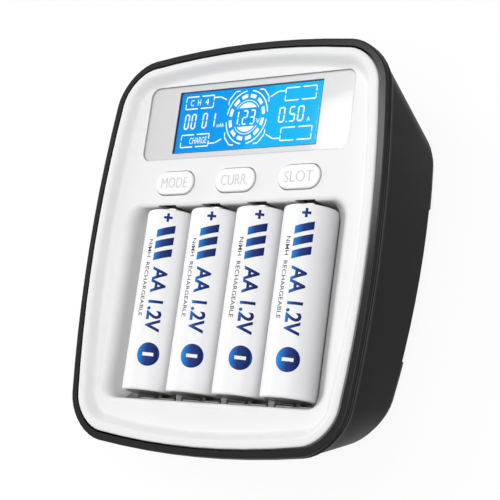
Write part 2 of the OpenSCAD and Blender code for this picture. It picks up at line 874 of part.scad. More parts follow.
module main_board() {
    color("darkgreen")
        difference() {
            slab(main_board_w, main_board_low, main_board_high, main_board_n - board_t, main_board_n);
            at_main_board_screws()
                translate([0, 0, main_board_n - board_t - slack])
                    cylinder(d = board_screw_d + 2 * screw_gap, h = board_t + 2 * slack);
        }
}

// Pin header that joins the two boards
module board_link() {
    color("dimgray")
        slab(header_w, header_y, header_y + header_t, main_board_n, display_board_n - board_t);
}

module button() {
    color("white")
        translate([0, button_y, 0]) {
            loft(concat(
                [lifted(stadium(button_w, button_h), flange_n - flange_t / 2)],
                [
                    for (i = [0 : 3])
                        let (a = 30 * i, inset = button_edge_r * (1 - cos(a)))
                        lifted(
                            stadium(button_w - 2 * inset, button_h - 2 * inset),
                            button_proud - button_edge_r * (1 - sin(a)))
                ]
            ));
            translate([0, 0, flange_n - flange_t])
                linear_extrude(flange_t)
                    polygon(stadium(button_w + 2 * flange_w, button_h + 2 * flange_w));
            translate([0, 0, plunger_n])
                cylinder(d = plunger_d, h = flange_n - flange_t / 2 - plunger_n);
        }
}

module plunger() {
    color("black")
        translate([0, button_y, switch_n - plunger_seat])
            cylinder(d = plunger_d, h = plunger_n - switch_n + plunger_seat);
}

module switch() {
    color("dimgray")
        translate([0, button_y, 0])
            difference() {
                slab(switch_w, -switch_w / 2, switch_w / 2, display_board_n, switch_n);
                translate([0, 0, switch_bore_n])
                    cylinder(d = plunger_d + 2 * plunger_gap, h = switch_n - switch_bore_n + slack);
            }
}

// Sleeve with rounded ends, a collar round the nub and a shallow base
module cell(i) {
    r = cell_d / 2;
    e = cell_edge_r;
    color("whitesmoke")
        translate([bay_x(i), base_y, cell_n])
            rotate([-90, 0, 0])
                rotate_extrude()
                    polygon(concat(
                        [[0, 0]],
                        [for (a = [-90 : edge_step : 0]) [r - e + e * cos(a), e + e * sin(a)]],
                        [for (a = [0 : edge_step : 90]) [r - e + e * cos(a), cell_l - e + e * sin(a)]],
                        [
                            [r - collar_w, cell_l], [r - collar_w, cell_l - collar_drop],
                            [nub_d / 2, cell_l - collar_drop], [nub_d / 2, cell_l + nub_h - nub_chamfer],
                            [nub_d / 2 - nub_chamfer, cell_l + nub_h], [0, cell_l + nub_h]
                        ]
                    ));
}

// Strip that stands behind the bay's wall, with a nose that reaches the nub
module positive_contact(i) {
    top = -skin - strip_drop;
    color("silver")
        translate([bay_x(i), 0, 0]) {
            across(positive_w)
                polygon([
                    [strip_y, main_board_n], [strip_y + contact_foot + contact_t, main_board_n],
                    [strip_y + contact_foot + contact_t, main_board_n + contact_t],
                    [strip_y + contact_t, main_board_n + contact_t], [strip_y + contact_t, top], [strip_y, top]
                ]);
            translate([0, nub_y, cell_n])
                rotate([-90, 0, 0])
                    cylinder(d1 = nose_tip_d, d2 = nose_d, h = strip_y + contact_t / 2 - nub_y);
        }
}

// Leaf that rises from the board through its slot, with a dimple that touches the cell's base
module negative_contact(i) {
    leaf_y = base_y - leaf_set_back;
    foot_y = leaf_y - contact_t - contact_foot;
    color("silver")
        translate([bay_x(i), 0, 0]) {
            across(leaf_w)
                polygon([
                    [foot_y, main_board_n], [leaf_y, main_board_n],
                    [leaf_y, ridge_n], [leaf_y - contact_t, ridge_n],
                    [leaf_y - contact_t, main_board_n + contact_t], [foot_y, main_board_n + contact_t]
                ]);
            translate([0, leaf_y - contact_t / 2, ridge_n - dimple_drop])
                rotate([-90, 0, 0])
                    cylinder(d1 = dimple_d, d2 = dimple_tip_d, h = leaf_set_back + contact_t / 2);
        }
}

module dc_jack() {
    top = display_board_n - board_t;
    color("black")
        difference() {
            slab(jack_w, jack_face_y - jack_l, jack_face_y, top - jack_h, top);
            translate([0, jack_face_y - jack_bore_l, jack_n])
                rotate([-90, 0, 0])
                    cylinder(d = jack_bore_d, h = jack_bore_l + slack);
            translate([0, jack_pin_y, jack_n])
                rotate([-90, 0, 0])
                    cylinder(d = jack_pin_d + screw_gap, h = jack_pin_root + slack);
        }
}

module dc_jack_pin() {
    color("silver")
        translate([0, jack_pin_y, jack_n])
            rotate([-90, 0, 0])
                cylinder(d = jack_pin_d, h = jack_pin_l);
}

module foot_place(i) {
    x = foot_x * (i % 2 == 0 ? 1 : -1);
    on_back(x, foot_ys[i > 2 ? 1 : 0])
        children();
}

module foot(i) {
    color("#202020")
        foot_place(i)
            rotate_extrude()
                polygon([
                    [0, -foot_proud], [foot_d / 2 - foot_proud / 2, -foot_proud], [foot_d / 2, -foot_proud / 2],
                    [foot_d / 2, foot_seat], [0, foot_seat]
                ]);
}

// A screw with its head's top at z = 0, pointing up
module screw(d, l, head_d, head_h) {
    slot_l = head_d * cross_l_share;
    slot_w = head_d * cross_w_share;
    difference() {
        union() {
            cylinder(d = head_d, h = head_h);
            cylinder(d = d, h = head_h + l);
        }
        for (a = [0, 90])
            rotate(a)
                translate([-slot_l / 2, -slot_w / 2, -slack])
                    cube([slot_l, slot_w, slack + head_h / 2]);
    }
}

module case_screws() {
    color("gray")
        for (x = [-boss_x, boss_x], y = boss_ys)
            let (seat = case_screw_sink - depth_at(y))
            translate([x, y, seat - case_screw_head_h])
                screw(
                    case_screw_d, boss_joint_n - seat + case_screw_grip, case_screw_head_d, case_screw_head_h);
}

module board_screw(n) {
    translate([0, 0, n - board_t - board_screw_head_h])
        screw(board_screw_d, board_t + board_screw_grip, board_screw_head_d, board_screw_head_h);
}

module display_board_screws() {
    color("gray")
        at_display_board_screws()
            board_screw(display_board_n);
}

module main_board_screws() {
    color("gray")
        at_main_board_screws()
            board_screw(main_board_n);
}

// A part on the main board's underside
module under_board(w, l, h, x, y) {
    translate([x, y, main_board_n - board_t - h])
        translate([-w / 2, -l / 2, 0])
            cube([w, l, h]);
}

module control_chip() {
    color("#202020")
        under_board(chip_w, chip_w, chip_h, 0, base_y + chip_offset);
}

module charge_transistors() {
    color("#202020")
        for (i = BAYS)
            under_board(transistor_w, transistor_l, transistor_h, bay_x(i), base_y + transistor_offset);
}

module power_inductor() {
    color("#404040")
        difference() {
            under_board(inductor_w, inductor_w, inductor_h, -inductor_x, power_y);
            translate([-inductor_x, power_y, main_board_n - board_t - inductor_h - slack])
                cylinder(d = coil_d, h = slack + coil_drop);
        }
}

module filter_capacitors() {
    color("#303848")
        for (x = [can_x, can_x + can_pitch])
            translate([x, power_y, main_board_n - board_t - can_h])
                cylinder(d = can_d, h = can_h);
}

face_frame() {
    front_cover();
    rear_housing();
    display_lens();
    display_mask();
    lcd_panel();
    backlight();
    display_board();
    main_board();
    board_link();
    dc_jack();
    dc_jack_pin();
    case_screws();
    display_board_screws();
    main_board_screws();
    control_chip();
    charge_transistors();
    power_inductor();
    filter_capacitors();
    for (i = [0 : len(BUTTONS) - 1])
        translate([button_x(i), 0, 0]) {
            button();
            plunger();
            switch();
        }
    for (i = BAYS) {
        cell(i);
        positive_contact(i);
        negative_contact(i);
    }
    for (i = FEET)
        foot(i);
}
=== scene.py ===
"""Looks of the four-bay battery charger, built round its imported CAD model."""

import json
import math

import bmesh
import bpy
from mathutils import Matrix, Vector


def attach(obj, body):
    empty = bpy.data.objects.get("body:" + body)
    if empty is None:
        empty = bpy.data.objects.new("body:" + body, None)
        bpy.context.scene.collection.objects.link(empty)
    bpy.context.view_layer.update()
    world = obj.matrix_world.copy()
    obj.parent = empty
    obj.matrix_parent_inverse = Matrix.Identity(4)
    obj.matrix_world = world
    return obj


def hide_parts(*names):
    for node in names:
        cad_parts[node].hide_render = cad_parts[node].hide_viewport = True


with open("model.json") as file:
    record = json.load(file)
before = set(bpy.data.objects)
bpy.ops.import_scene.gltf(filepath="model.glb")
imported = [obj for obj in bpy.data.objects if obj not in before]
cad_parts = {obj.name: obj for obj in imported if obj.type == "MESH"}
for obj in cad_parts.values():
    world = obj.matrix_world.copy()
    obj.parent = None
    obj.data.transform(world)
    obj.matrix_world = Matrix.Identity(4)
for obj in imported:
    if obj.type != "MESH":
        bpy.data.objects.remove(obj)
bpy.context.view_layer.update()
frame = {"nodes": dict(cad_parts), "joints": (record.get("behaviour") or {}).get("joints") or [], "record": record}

MM = 0.001
NODES = frame["nodes"]
CELLS = (1, 2, 3, 4)
BUTTONS = {"mode": "MODE", "current": "CURR.", "slot": "SLOT"}
BODY_OF = {n: b for b, members in frame["record"]["behaviour"]["bodies"].items() for n in members}
SLOT_OF = {s["node"]: s["material_slot"] for s in frame["record"]["subparts"]}

# The buttons are pressed straight into the white field, so their axis gives the tilt of the face.
press = Vector(frame["joints"][0]["axis"])
TILT = math.atan2(press.y, -press.z)
FACE = Matrix.Rotation(TILT, 4, "X")


def face_box(node):
    """Lowest and highest corner of a node in the turned coordinates of the face, in metres."""
    spots = [FACE.inverted() @ v.co for v in NODES[node].data.vertices]
    return Vector([min(s) for s in zip(*spots)]), Vector([max(s) for s in zip(*spots)])


def middle(node):
    low, high = face_box(node)
    return (low + high) / 2


# Height of the white field, in metres
FIELD = face_box("display_lens")[1].z

# The mask's opening and outer corners, and the distance between cells, in millimetres
WINDOW_W, WINDOW_H = 47.3, 17.3
MASK_CORNER = 2.6
CELL_PITCH = (middle("cell_2").x - middle("cell_1").x) / MM

# Heights of print and lit segments above what carries them, in metres
INK_LIFT = 0.02 * MM
SEGMENT_LIFT = 0.03 * MM
WORD_LIFT = 0.03 * MM

# Edges that turn by more degrees than this stay sharp
SHARP = 30.0

# --------------------------------------------------------------------------- finishes


class Value:
    """One output socket. Sums, products and comparisons of values add their Math nodes."""

    def __init__(self, finish, socket):
        self.finish = finish
        self.socket = socket

    def math(self, operation, *terms):
        return self.finish.add("ShaderNodeMath", {"operation": operation}, dict(enumerate(terms)))

    def __add__(self, other):
        return self.math("ADD", self, other)

    def __radd__(self, other):
        return self.math("ADD", other, self)

    def __sub__(self, other):
        return self.math("SUBTRACT", self, other)

    def __rsub__(self, other):
        return self.math("SUBTRACT", other, self)

    def __mul__(self, other):
        return self.math("MULTIPLY", self, other)

    def __rmul__(self, other):
        return self.math("MULTIPLY", other, self)

    def __truediv__(self, other):
        return self.math("DIVIDE", self, other)

    def __pow__(self, other):
        return self.math("POWER", self, other)

    def __abs__(self):
        return self.math("ABSOLUTE", self)

    def __lt__(self, other):
        return self.math("LESS_THAN", self, other)

    def __gt__(self, other):
        return self.math("GREATER_THAN", self, other)

    def __or__(self, other):
        return self.math("MAXIMUM", self, other)


class Finish:
    """A material of one Principled shader; its nodes come from add and its sockets from feed."""

    def __init__(self, name, **constants):
        self.material = bpy.data.materials.new(name)
        self.material.use_nodes = True
        self.tree = self.material.node_tree
        self.shader = self.tree.nodes["Principled BSDF"]
        self.feed({k.replace("_", " ").title(): v for k, v in constants.items()})

    def put(self, socket, value):
        if isinstance(value, Value):
            self.tree.links.new(value.socket, socket)
        else:
            socket.default_value = value

    def add(self, kind, settings=None, inputs=None, out=0):
        """A node of a kind: its settings first, then the values or links of its sockets."""
        node = self.tree.nodes.new(kind)
        for key, value in (settings or {}).items():
            if key == "stops":
                stops = node.color_ramp.elements
                while len(stops) < len(value):
                    stops.new(1.0)
                for stop, (place, colour) in zip(stops, value):
                    stop.position = place
                    stop.color = colour
            else:
                setattr(node, key, value)
        for key, value in (inputs or {}).items():
            self.put(node.inputs[key], value)
        return Value(self, node.outputs[out])

    def feed(self, inputs):
        for key, value in inputs.items():
            self.put(self.shader.inputs[key], value)

    def face(self, origin=(0, 0, 0)):
        """The point on the face in millimetres from an origin given in metres: vector, x, y and height."""
        spot = self.add("ShaderNodeTexCoord", out=3)
        turned = self.add(
            "ShaderNodeMapping", {"vector_type": "POINT"},
            {"Vector": spot, "Rotation": (-TILT, 0, 0), "Scale": (1000, 1000, 1000),
             "Location": tuple(-1000 * v for v in origin)})
        return turned, *[self.add("ShaderNodeSeparateXYZ", None, {0: turned}, out=i) for i in range(3)]

    def noise(self, spot, scale, detail=2.0):
        return self.add("ShaderNodeTexNoise", None, {"Vector": spot, "Scale": scale, "Detail": detail})

    def blend(self, share, a, b):
        return self.add("ShaderNodeMix", {"data_type": "RGBA"}, {0: share, 6: a, 7: b}, out=2)

    def ramp(self, value, *stops):
        return self.add("ShaderNodeValToRGB", {"stops": stops}, {0: value})

    def step(self, value, start, end):
        """0 up to start and 1 from end on, smooth between them."""
        return self.add(
            "ShaderNodeMapRange", {"interpolation_type": "SMOOTHSTEP"},
            {"Value": value, "From Min": start, "From Max": end})

    def bump(self, height, depth):
        """Relief of a depth in millimetres."""
        return self.add("ShaderNodeBump", None, {"Strength": 1.0, "Distance": depth * MM, "Height": height})

    def stretch(self, spot, scale):
        return self.add("ShaderNodeMapping", None, {"Vector": spot, "Scale": scale})

    def plain(self):
        """What the Principled shader shows."""
        return Value(self, self.shader.outputs[0])

    def show(self, share, a, b):
        """Puts a mix of two shaders on the surface."""
        mixed = self.add("ShaderNodeMixShader", None, {0: share, 1: a, 2: b})
        self.put(self.tree.nodes["Material Output"].inputs["Surface"], mixed)


def tint(colour, share=1.0):
    return tuple(min(1.0, c * share) for c in colour[:3]) + (1.0,)


def across_cell(finish, x):
    """How far a point lies to one side of the nearest cell's axis, in millimetres."""
    half = CELL_PITCH / 2
    return finish.add("ShaderNodeMath", {"operation": "WRAP"}, {0: x - half, 1: half, 2: -half})


def moulded(name, colour, rough, grain, depth, drift=0.02, gloss=0.5, bay_shade=1.0, rim_coat=0.0, **constants):
    """Moulded plastic with a drifting tone and a fine grain, and a share of its colour kept down in the bay as
    painted shade.
    """
    finish = Finish(name, **constants)
    finish.feed({"Specular IOR Level": gloss})
    spot, _, _, height = finish.face((0, 0, FIELD))
    cloud = finish.noise(spot, 0.06, 3.0)
    fine = finish.noise(spot, grain, 2.0)
    tone = finish.blend(cloud, tint(colour, 1 - drift), tint(colour, 1 + drift))
    # Painted shade: below the white field the colour darkens towards the depth of the bay.
    if bay_shade < 1:
        tone = finish.blend(finish.step(height, -3.0, -0.3), tint(colour, bay_shade), tone)
    if rim_coat:
        finish.feed({"Coat Weight": rim_coat * finish.step(height, -2.5, -1.0), "Coat Roughness": 0.18})
    finish.feed({
        "Base Color": tone,
        "Roughness": rough + 0.12 * (cloud - 0.5) + 0.06 * (fine - 0.5),
        "Normal": finish.bump(fine + 1.5 * finish.noise(spot, 0.5, 1.0), depth),
    })
    return finish


def plated(name, colour, rough, stretch, depth):
    """Plated metal with fine drawing lines and a patchy polish."""
    finish = Finish(name, metallic=1.0)
    spot = finish.face()[0]
    lines = finish.noise(finish.stretch(spot, stretch), 2.0, 3.0)
    patch = finish.noise(spot, 0.4, 3.0)
    finish.feed({
        "Base Color": finish.blend(patch, tint(colour, 0.88), tint(colour, 1.06)),
        "Roughness": rough + 0.18 * (lines - 0.5) + 0.12 * (patch - 0.5),
        "Normal": finish.bump(lines, depth),
    })
    return finish


def board_finish(name):
    """Green solder mask over copper runs, with bright pads."""
    finish = Finish(name, coat_weight=0.4)
    spot = finish.face()[0]
    runs = finish.add("ShaderNodeTexBrick", {"offset": 0.35}, {
        "Vector": spot, "Scale": 0.32, "Mortar Size": 0.09, "Color1": (1, 1, 1, 1), "Color2": (0, 0, 0, 1),
        "Mortar": (0.5, 0.5, 0.5, 1)}, out=1)
    dots = finish.add("ShaderNodeTexVoronoi", None, {"Vector": spot, "Scale": 0.22, "Randomness": 0.8})
    pads = dots < 0.16
    mask_colour = finish.blend(runs, (0.012, 0.10, 0.035, 1), (0.03, 0.19, 0.07, 1))
    finish.feed({
        "Base Color": finish.blend(pads, mask_colour, (0.62, 0.60, 0.55, 1)),
        "Metallic": pads,
        "Roughness": 0.38 + 0.1 * finish.noise(spot, 1.5),
        "Normal": finish.bump(runs, 0.03),
    })
    return finish


def sleeve_finish(name):
    """White shrink sleeve with painted shade on its flanks between the cells; the nub, its hollow and the base are
    bare nickel, written dark as painted shade.
    """
    finish = Finish(name, coat_weight=0.08, coat_roughness=0.12)
    low, high = face_box("cell_1")
    radius = (high.x - low.x) / 2 / MM
    nub_h = 1.5
    sleeve_l = (high.y - low.y) / MM - nub_h
    spot, x, along, height = finish.face((0, low.y, middle("cell_1").z))
    across = across_cell(finish, x)
    reach = (across * across + height * height) ** 0.5
    nub = (along > sleeve_l - 0.33) * (reach < radius - 1.5)
    base = (along < 0.05) * (reach < radius - 1.2)
    metal = nub | base
    shrink = finish.noise(finish.stretch(spot, (1, 0.25, 1)), 0.7, 2.0)
    fold = (1 - finish.step(along, 0.0, 2.6)) | finish.step(along, sleeve_l - 2.2, sleeve_l)
    wave = finish.noise(finish.stretch(spot, (2.4, 0.2, 2.4)), 1.0, 1.0)
    white = finish.blend(shrink, (0.90, 0.90, 0.91, 1), (0.93, 0.93, 0.94, 1))
    # Painted shade: the film is grey below 0.62 of the radius, where the cells shade each other, but stays white
    # on the outer flanks of the end cells.
    outer = finish.step(abs(x), 1.5 * CELL_PITCH, 1.7 * CELL_PITCH)
    film_and_flank_shade = finish.blend(finish.step(height, 0.0, 0.62 * radius) | outer, (0.54, 0.54, 0.56, 1), white)
    finish.feed({
        # The bare nickel is written dark grey, a painted shade for the nub and base down in the bay.
        "Base Color": finish.blend(metal, film_and_flank_shade, (0.44, 0.43, 0.41, 1)),
        "Metallic": metal,
        "Roughness": 0.36 + 0.06 * (shrink - 0.5),
        "Specular IOR Level": 0.25,
        "Normal": finish.bump(0.3 * shrink + fold * wave, 0.05),
    })
    return finish


def print_finish(name, stops):
    """Ink on the sleeves, shaded round each cell."""
    finish = Finish(name)
    spot, x, _, _ = finish.face()
    speck = finish.noise(spot, 3.0, 2.0)
    start, width = -2.7, 12.0
    finish.feed({
        "Base Color": finish.ramp((across_cell(finish, x) - start) / width + 0.03 * (speck - 0.5), *stops),
        "Roughness": 0.42 + 0.08 * speck,
        "Specular IOR Level": 0.12,
    })
    return finish


def display_finish(name):
    """Backlit blue glass, deeper blue on the left; a painted reflection makes it cyan beyond a slanting edge."""
    finish = Finish(name, emission_strength=1.0, base_color=(0.0, 0.03, 0.11, 1))
    spot, x, y, _ = finish.face(middle("lcd_panel"))
    # Painted reflection: the glass turns lighter cyan beyond a slanting edge.
    reflection_slant = finish.step(x - 0.4 * y, 0.5, 5.5)
    slow = x / WINDOW_W + 0.5
    lit = finish.blend(reflection_slant, (0.0, 0.275, 0.78, 1), (0.008, 0.45, 0.84, 1))
    lit = finish.blend(0.45 * slow, lit, (0.012, 0.53, 0.88, 1))
    mottle = finish.noise(spot, 0.25, 2.0)
    finish.feed({
        "Emission Color": finish.blend(0.12 * mottle, lit, (0.01, 0.40, 0.9, 1)),
        "Roughness": 0.45 + 0.05 * mottle,
        "Specular IOR Level": 0.0,
    })
    return finish


def mask_finish(name):
    """Grey-white print behind the lens, with a painted reflection that makes it paler to the right; a grey edge,
    and a navy line round its window.
    """
    finish = Finish(name)
    low, high = face_box("display_mask")
    half_w, half_h = (high.x - low.x) / 2 / MM, (high.y - low.y) / 2 / MM
    spot, x, y, _ = finish.face(middle("display_mask"))
    speck = finish.noise(spot, 1.5, 2.0)
    # Painted reflection: the print grows paler from its left end to its right.
    tone = finish.step(x, -half_w, half_w) + 0.1 * (speck - 0.5)
    over_x = (abs(x) - (half_w - MASK_CORNER)) | 0.0
    over_y = (abs(y) - (half_h - MASK_CORNER)) | 0.0
    edge = finish.step((over_x * over_x + over_y * over_y) ** 0.5, MASK_CORNER - 0.5, MASK_CORNER - 0.2)
    plain = finish.blend(tone, (0.655, 0.64, 0.63, 1), (0.725, 0.71, 0.70, 1))
    plain = finish.blend(edge, plain, (0.55, 0.55, 0.56, 1))
    outside = finish.step((abs(x) - WINDOW_W / 2) | (abs(y) - WINDOW_H / 2), 0.15, 0.27)
    finish.feed({
        "Base Color": finish.blend(outside, (0.008, 0.016, 0.06, 1), plain),
        "Roughness": 0.4 + 0.1 * speck,
    })
    return finish


def lit_finish(name):
    """Segments of the display where the backlight shines through."""
    finish = Finish(name, emission_strength=1.0, base_color=(0.1, 0.12, 0.14, 1))
    spot = finish.face()[0]
    glow = finish.noise(spot, 0.5, 2.0)
    finish.feed({
        "Emission Color": finish.blend(glow, (0.74, 0.93, 1.0, 1), (0.92, 0.99, 1.0, 1)),
        "Roughness": 0.3 + 0.1 * glow,
    })
    return finish


def clear_finish(name):
    """Clear glossy acrylic: see-through, with a mirror-like surface that gains at a slant."""
    finish = Finish(name, base_color=(1, 1, 1, 1), metallic=1.0)
    spot = finish.face()[0]
    finish.feed({
        "Roughness": 0.03 + 0.05 * finish.noise(spot, 0.12, 3.0),
        "Normal": finish.bump(finish.noise(spot, 0.08, 1.0), 0.005),
    })
    from_inside = finish.add("ShaderNodeNewGeometry", out=6)
    gloss = finish.add("ShaderNodeFresnel", None, {"IOR": 1.18}) * (1 - from_inside)
    clear = finish.add("ShaderNodeBsdfTransparent", None, {"Color": (0.985, 0.99, 0.995, 1)})
    finish.show(gloss, clear, finish.plain())
    return finish


INK = ((0.10, (0.05, 0.50, 0.90, 1)), (0.30, (0.012, 0.20, 0.66, 1)), (0.46, (0.004, 0.03, 0.20, 1)),
       (0.66, (0.003, 0.014, 0.10, 1)), (0.80, (0.02, 0.26, 0.70, 1)))
GREY_INK = ((0.2, (0.06, 0.065, 0.08, 1)), (0.8, (0.12, 0.125, 0.14, 1)))

# The white shell is given painted shade down in the bay.
white_shell = moulded(
    "white_shell", (0.83, 0.83, 0.835), 0.42, 2.2, 0.004, drift=0.012, gloss=0.2, bay_shade=0.55,
    coat_weight=0.04, coat_roughness=0.2)
button_white = moulded("button_white", (0.88, 0.88, 0.885), 0.36, 2.6, 0.004, drift=0.01)
# The raised button words are written light grey, a painted shade for the shading round their edges.
legend_shade_grey = moulded("legend_shade_grey", (0.58, 0.58, 0.59), 0.45, 3.0, 0.003)
mask_white = mask_finish("mask_white")
black_shell = moulded(
    "black_shell", (0.013, 0.013, 0.0134), 0.42, 3.2, 0.012, drift=0.16, gloss=0.03, rim_coat=0.2)
insulator = moulded("insulator", (0.016, 0.016, 0.017), 0.5, 2.8, 0.012, drift=0.15, gloss=0.3)
rubber = moulded("rubber", (0.014, 0.014, 0.014), 0.82, 4.0, 0.02, drift=0.25)
light_guide = moulded("light_guide", (0.72, 0.80, 0.88), 0.3, 1.2, 0.003)
# Contact metal is written darker than bright nickel, a painted shade for contacts that sit down in the bay.
contact_metal = plated("contact_metal", (0.40, 0.39, 0.37), 0.28, (1.0, 9.0, 1.0), 0.006)
screw_steel = plated("screw_steel", (0.42, 0.42, 0.44), 0.36, (6.0, 6.0, 1.0), 0.008)
can_metal = plated("can_metal", (0.34, 0.37, 0.43), 0.34, (1.0, 1.0, 8.0), 0.006)
circuit_board = board_finish("circuit_board")
sleeve = sleeve_finish("sleeve")
sleeve_ink = print_finish("sleeve_ink", INK)
sleeve_small_ink = print_finish("sleeve_small_ink", GREY_INK)
display_glass = display_finish("display_glass")
display_lit = lit_finish("display_lit")
lens_clear = clear_finish("lens_clear")

FINISH_OF_SLOT = {
    "white_shell": white_shell, "black_shell": black_shell, "lens": lens_clear, "mask_white": mask_white,
    "display_glass": display_glass, "light_guide": light_guide, "circuit_board": circuit_board,
    "black_insulator": insulator, "button_white": button_white, "cell_sleeve": sleeve,
    "contact_metal": contact_metal, "screw_steel": screw_steel, "capacitor_can": can_metal,
    "foot_rubber": rubber,
}


# --------------------------------------------------------------------------- pieces


def new_object(name, bm, finish):
    """The finished mesh as an object at the origin."""
    mesh = bpy.data.meshes.new(name)
    bm.to_mesh(mesh)
    bm.free()
    mesh.materials.append(finish.material)
    obj = bpy.data.objects.new(name, mesh)
    bpy.context.scene.collection.objects.link(obj)
    return obj


def add_piece(name, bm, finish, body):
    """A new object that rides on a body and fills a material slot."""
    obj = new_object(name, bm, finish)
    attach(obj, body)
    return obj


def shade(bm):
    """Smooth faces, with the edges that turn far left sharp."""
    for face in bm.faces:
        face.smooth = True
    for edge in bm.edges:
        edge.smooth = edge.is_manifold and edge.calc_face_angle(0.0) < math.radians(SHARP)


def dressed(node):
    """A merged and smoothly shaded copy of a node, which stands for it."""
    bm = bmesh.new()
    bm.from_mesh(NODES[node].data)
    bmesh.ops.remove_doubles(bm, verts=bm.verts, dist=2e-6)
    bmesh.ops.dissolve_limit(bm, angle_limit=math.radians(0.1), verts=bm.verts, edges=bm.edges)
    shade(bm)
    copy = add_piece(node + "_shaped", bm, FINISH_OF_SLOT[SLOT_OF[node]], BODY_OF[node])
    even = copy.modifiers.new("even", "WEIGHTED_NORMAL")
    even.keep_sharp = True
    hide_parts(node)
    return copy


for name in NODES:
    NODES[name].data.materials.clear()
    NODES[name].data.materials.append(FINISH_OF_SLOT[SLOT_OF[name]].material)

for name in ("front_cover", "rear_housing", "display_mask", "dc_jack", "dc_jack_pin", "case_screws"):
    dressed(name)
for name in BUTTONS:
    dressed(name + "_button")
for i in CELLS:
    for kind in ("cell_", "positive_contact_", "negative_contact_", "foot_"):
        dressed(kind + str(i))

# The lens is left a hair thinner than its node, so that its rear face does not lie in the mask's front.
lens_back = face_box("display_lens")[0].z
hair = 0.05 * MM
for v in dressed("display_lens").data.vertices:
    if (FACE.inverted() @ v.co).z < lens_back + hair:
        v.co += FACE @ Vector((0, 0, hair))


def place(bm, matrix):
    bmesh.ops.transform(bm, matrix=matrix, verts=bm.verts)


def lettering(text, width, height, weight=0.0, thick=0.0):
    """A line of lettering as a mesh in the XY plane, centred, fitted to a width, a height and a thickness."""
    half_t = 0.01
    line = bpy.data.curves.new("line", "FONT")
    line.body = text
    line.size = 1.0
    line.offset = weight
    line.resolution_u = 3
    line.extrude = half_t if thick else 0.0
    holder = bpy.data.objects.new("line", line)
    bpy.context.scene.collection.objects.link(holder)
    bpy.context.view_layer.update()
    depsgraph = bpy.context.evaluated_depsgraph_get()
    mesh = bpy.data.meshes.new_from_object(holder.evaluated_get(depsgraph))
    bm = bmesh.new()
    bm.from_mesh(mesh)
    bpy.data.objects.remove(holder)
    bpy.data.curves.remove(line)
    bpy.data.meshes.remove(mesh)
    low = Vector([min(v.co[k] for v in bm.verts) for k in range(3)])
    high = Vector([max(v.co[k] for v in bm.verts) for k in range(3)])
    place(bm, Matrix.Translation((low + high) / -2))
    depth = thick / (2 * half_t) if thick else 1.0
    place(bm, Matrix.Diagonal((width / (high.x - low.x), height / (high.y - low.y), depth, 1)))
    return bm


def take(bm, other):
    """Adds another bmesh to this one."""
    mesh = bpy.data.meshes.new("part")
    other.to_mesh(mesh)
    other.free()
    bm.from_mesh(mesh)
    bpy.data.meshes.remove(mesh)


# Button words, raised a little from each button's face
for name, word in BUTTONS.items():
    low, high = face_box(name + "_button")
    bm = lettering(word, 8.9 * MM, 2.9 * MM, weight=-0.012, thick=0.1 * MM)
    place(bm, FACE @ Matrix.Translation(((low.x + high.x) / 2, (low.y + high.y) / 2, high.z + WORD_LIFT)))
    shade(bm)
    add_piece(name + "_word", bm, legend_shade_grey, name + "_push")


# --------------------------------------------------------------------------- display figures

# Widths of the segments in millimetres; a box has heavier lines along its long sides
FIGURE_LINE, POINT_LINE, THIN_LINE, BOX_LINE, BOX_SIDE = 0.4, 0.42, 0.3, 0.33, 0.27
FIGURE_LEAN = 0.03
FIGURE_CUT = 0.06


def bar(bm, a, b, width):
    """A display segment with pointed ends from a to b, in millimetres."""
    a, b = Vector((*a, 0)), Vector((*b, 0))
    along = (b - a).normalized() * width / 2
    side = Vector((-along.y, along.x, 0))
    spots = (a, a + along - side, b - along - side, b, b - along + side, a + along + side)
    bm.faces.new([bm.verts.new(s) for s in spots])


def open_box(bm, x, y, w, h):
    """A box of bars, open in the middle of each side."""
    for across in (-1, 1):
        for up in (-1, 1):
            corner = (x + across * w / 2, y + up * h / 2)
            bar(bm, corner, (x + 0.45 * across, corner[1]), BOX_LINE)
            bar(bm, corner, (corner[0], y + 0.2 * up), BOX_SIDE)


def chain(bm, spots):
    """Thin bars from each spot to the next."""
    for a, b in zip(spots, spots[1:]):
        bar(bm, a, b, THIN_LINE)


STROKES = {
    "a": ((0, 1), (1, 1)), "b": ((1, 1), (1, 0.5)), "c": ((1, 0.5), (1, 0)), "d": ((0, 0), (1, 0)),
    "e": ((0, 0.5), (0, 0)), "f": ((0, 1), (0, 0.5)), "g": ((0, 0.5), (1, 0.5)),
}
FIGURES = {"0": "abcdef", "1": "bc", "2": "abged", "3": "abgcd", "5": "afgcd"}


def figures(bm, marks, y, w, h):
    """Seven-segment figures that lean a little, each with the x of its lower left corner."""
    for mark, x in marks:
        for key in FIGURES[mark]:
            a, b = [Vector((x + w * u + FIGURE_LEAN * h * v, y + h * v)) for u, v in STROKES[key]]
            cut = (b - a).normalized() * FIGURE_CUT
            bar(bm, a + cut, b - cut, FIGURE_LINE)


def on_circle(bm, radius, angle, centre_y=0.0):
    """A vertex at an angle on a circle round a point of the y axis."""
    turn = math.radians(angle)
    return bm.verts.new((radius * math.cos(turn), centre_y + radius * math.sin(turn), 0))


def ring_block(bm, inner, outer, start, sweep, steps):
    """A piece of a ring round the origin, spun from one radial edge."""
    ends = [on_circle(bm, r, start) for r in (inner, outer)]
    edge = bm.edges.new(ends)
    bmesh.ops.spin(
        bm, geom=[*ends, edge], cent=(0, 0, 0), axis=(0, 0, 1), angle=math.radians(sweep), steps=steps)


def cap_block(bm, radius, start, sweep, centre_y=0.0):
    """The piece of a disc that a chord cuts off."""
    rim = on_circle(bm, radius, start, centre_y)
    swept = bmesh.ops.spin(
        bm, geom=[rim], cent=(0, centre_y, 0), axis=(0, 0, 1), angle=math.radians(sweep), steps=14)
    last = swept["geom_last"][0]
    line = [rim]
    while line[-1] is not last:
        beside = [e.other_vert(line[-1]) for e in line[-1].link_edges]
        line.append(next(v for v in beside if v not in line))
    bmesh.ops.contextual_create(bm, geom=line)


def small_words(bm, text, x, y, w, h):
    line = lettering(text, w, h)
    place(line, Matrix.Translation((x, y, 0)))
    take(bm, line)


